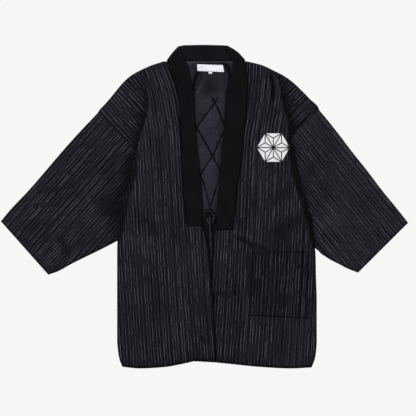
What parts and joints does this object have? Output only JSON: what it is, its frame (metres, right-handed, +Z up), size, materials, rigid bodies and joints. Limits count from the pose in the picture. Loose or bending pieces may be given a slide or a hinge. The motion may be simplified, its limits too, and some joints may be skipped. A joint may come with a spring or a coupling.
{
  "type": "padded hanten coat, laid flat",
  "caption": "Short wadded happi-style coat laid flat on its back: wide sleeves, plain collar band, tied front opening, patch pocket and quilted lining at the neck.",
  "frame": {"origin": "centre of the coat's bounding box at its underside, on the surface that it lies on", "axes": "+X across the coat from cuff to cuff, to the right of someone looking down at it; +Y from the hem to the collar; +Z up off the surface"},
  "size_m": [1.096, 0.8699, 0.0197],
  "materials": {
    "shell_cloth": "matt cotton with broken pale stripes",
    "band_cloth": "plain matt cotton",
    "lining_satin": "quilted satin",
    "label_white": "woven tape, blank"
  },
  "bodies": {
    "root": {"back": "shell_cloth", "front_left": "shell_cloth", "front_right": "shell_cloth", "sleeve_left": "shell_cloth", "sleeve_right": "shell_cloth", "collar_band": "band_cloth", "lining": "lining_satin", "pocket": "shell_cloth", "label": "label_white", "label_tab": "label_white", "tie_left": "shell_cloth", "tie_right": "shell_cloth"}
  },
  "joints": []
}
